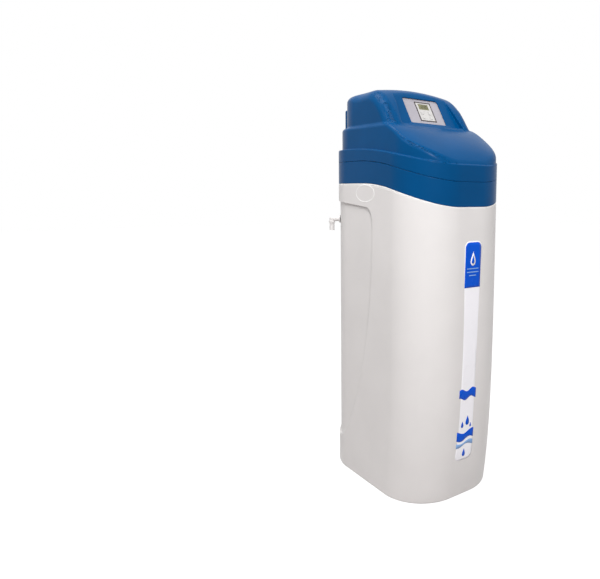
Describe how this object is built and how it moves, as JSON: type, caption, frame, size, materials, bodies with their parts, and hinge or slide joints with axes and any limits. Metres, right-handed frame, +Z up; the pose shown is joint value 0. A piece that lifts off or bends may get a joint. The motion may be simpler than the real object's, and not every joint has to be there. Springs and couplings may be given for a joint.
{
  "type": "water softener",
  "caption": "Cabinet water softener with a white brine cabinet, a blue collar and lift-off cover, a resin tank with a piston valve, a control panel and a rear bypass.",
  "frame": {"origin": "the floor, under the middle of the cabinet's plan", "axes": "+X is to the right for someone who faces the front, +Y is to the rear, where the plumbing is, and +Z is up"},
  "size_m": [0.334, 0.508, 1.124],
  "materials": {
    "white_plastic": "satin moulded",
    "blue_plastic": "semi-gloss moulded",
    "grey_plastic": "fine textured",
    "dark_plastic": "satin",
    "keypad_plastic": "satin",
    "screen_glass": "smooth",
    "board_green": "lacquered",
    "black_plastic": "glass-filled, satin",
    "tank_plastic": "wound fibre",
    "black_rubber": "moulded",
    "resin_beads": "fine beads",
    "cream_plastic": "satin",
    "plated_steel": "zinc plated",
    "brass_metal": "machined",
    "red_plastic": "semi-gloss moulded"
  },
  "bodies": {
    "cabinet": {"cabinet_shell": "white_plastic", "top_collar": "blue_plastic", "control_panel": "grey_plastic", "display_frame": "dark_plastic", "keypad": "keypad_plastic", "screen": "screen_glass", "circuit_board": "board_green", "controller_case": "black_plastic", "controller_bracket": "black_plastic", "resin_tank": "tank_plastic", "tank_boot": "black_rubber", "resin_bed": "resin_beads", "riser_tube": "white_plastic", "lower_strainer": "black_plastic", "upper_strainer": "black_plastic", "valve_body": "black_plastic", "bore_seals": "black_rubber", "bore_plug": "grey_plastic", "drive_housing": "black_plastic", "drive_cover": "black_plastic", "drive_screws": "plated_steel", "drive_motor": "plated_steel", "turbine_cage": "white_plastic", "injector_cap": "grey_plastic", "brine_elbow": "white_plastic", "drain_fitting": "white_plastic", "union_nuts": "black_plastic", "bypass_body": "black_plastic", "brine_well": "white_plastic", "brine_valve": "black_plastic", "brine_tube": "cream_plastic", "overflow_elbow": "white_plastic", "overflow_gasket": "black_rubber", "overflow_nut": "grey_plastic"},
    "cover": {"cover_shell": "blue_plastic", "cover_plugs": "white_plastic"},
    "inlet_valve": {"inlet_spindle": "plated_steel", "inlet_handle": "red_plastic"},
    "outlet_valve": {"outlet_spindle": "plated_steel", "outlet_handle": "red_plastic"},
    "key_1": {"button_1": "keypad_plastic"},
    "key_2": {"button_2": "keypad_plastic"},
    "key_3": {"button_3": "keypad_plastic"},
    "key_4": {"button_4": "keypad_plastic"},
    "float": {"brine_float": "cream_plastic", "float_rod": "plated_steel"},
    "cap": {"well_cap": "black_plastic"},
    "gear": {"main_gear": "cream_plastic"},
    "pinion": {"motor_pinion": "brass_metal"},
    "valve_piston": {"piston": "cream_plastic"},
    "meter": {"turbine": "blue_plastic"}
  },
  "joints": [
    {"name": "cover_lift", "type": "slide", "parent": "cabinet", "child": "cover", "axis": [0, 0, 1], "range_m": [0, 0.3]},
    {"name": "inlet_turn", "type": "hinge", "parent": "cabinet", "child": "inlet_valve", "pos_m": [-0.038, 0.2505, 0.957], "axis": [0, 0, 1], "range_deg": [0, 90]},
    {"name": "outlet_turn", "type": "hinge", "parent": "cabinet", "child": "outlet_valve", "pos_m": [0.038, 0.2505, 0.957], "axis": [0, 0, 1], "range_deg": [0, 90]},
    {"name": "press_1", "type": "slide", "parent": "cabinet", "child": "key_1", "axis": [0, 0.8472, -0.5313], "range_m": [0, 0.0008], "stiffness_N_per_m": 500},
    {"name": "press_2", "type": "slide", "parent": "cabinet", "child": "key_2", "axis": [0, 0.8472, -0.5313], "range_m": [0, 0.0008], "stiffness_N_per_m": 500},
    {"name": "press_3", "type": "slide", "parent": "cabinet", "child": "key_3", "axis": [0, 0.8472, -0.5313], "range_m": [0, 0.0008], "stiffness_N_per_m": 500},
    {"name": "press_4", "type": "slide", "parent": "cabinet", "child": "key_4", "axis": [0, 0.8472, -0.5313], "range_m": [0, 0.0008], "stiffness_N_per_m": 500},
    {"name": "float_rise", "type": "slide", "parent": "cabinet", "child": "float", "axis": [0, 0, 1], "range_m": [0, 0.03]},
    {"name": "cap_lift", "type": "slide", "parent": "cabinet", "child": "cap", "axis": [0, 0, 1], "range_m": [0, 0.06]},
    {"name": "gear_turn", "type": "hinge", "parent": "cabinet", "child": "gear", "pos_m": [0, 0.012, 0.944], "axis": [0, 1, 0], "range_deg": [0, 1080]},
    {"name": "pinion_turn", "type": "hinge", "parent": "cabinet", "child": "pinion", "pos_m": [0.042, 0.012, 0.944], "axis": [0, 1, 0], "range_deg": [-3961, 0]},
    {"name": "piston_slide", "type": "slide", "parent": "cabinet", "child": "valve_piston", "axis": [0, -1, 0], "range_m": [0, 0.036]},
    {"name": "meter_spin", "type": "hinge", "parent": "cabinet", "child": "meter", "pos_m": [0.038, 0.196, 0.934], "axis": [0, 1, 0], "continuous": true}
  ],
  "couplings": [
    {"joint": "pinion_turn", "follows": "gear_turn", "ratio": -3.6667},
    {"joint": "piston_slide", "follows": "gear_turn", "m_per_rad": 0.0019099}
  ]
}
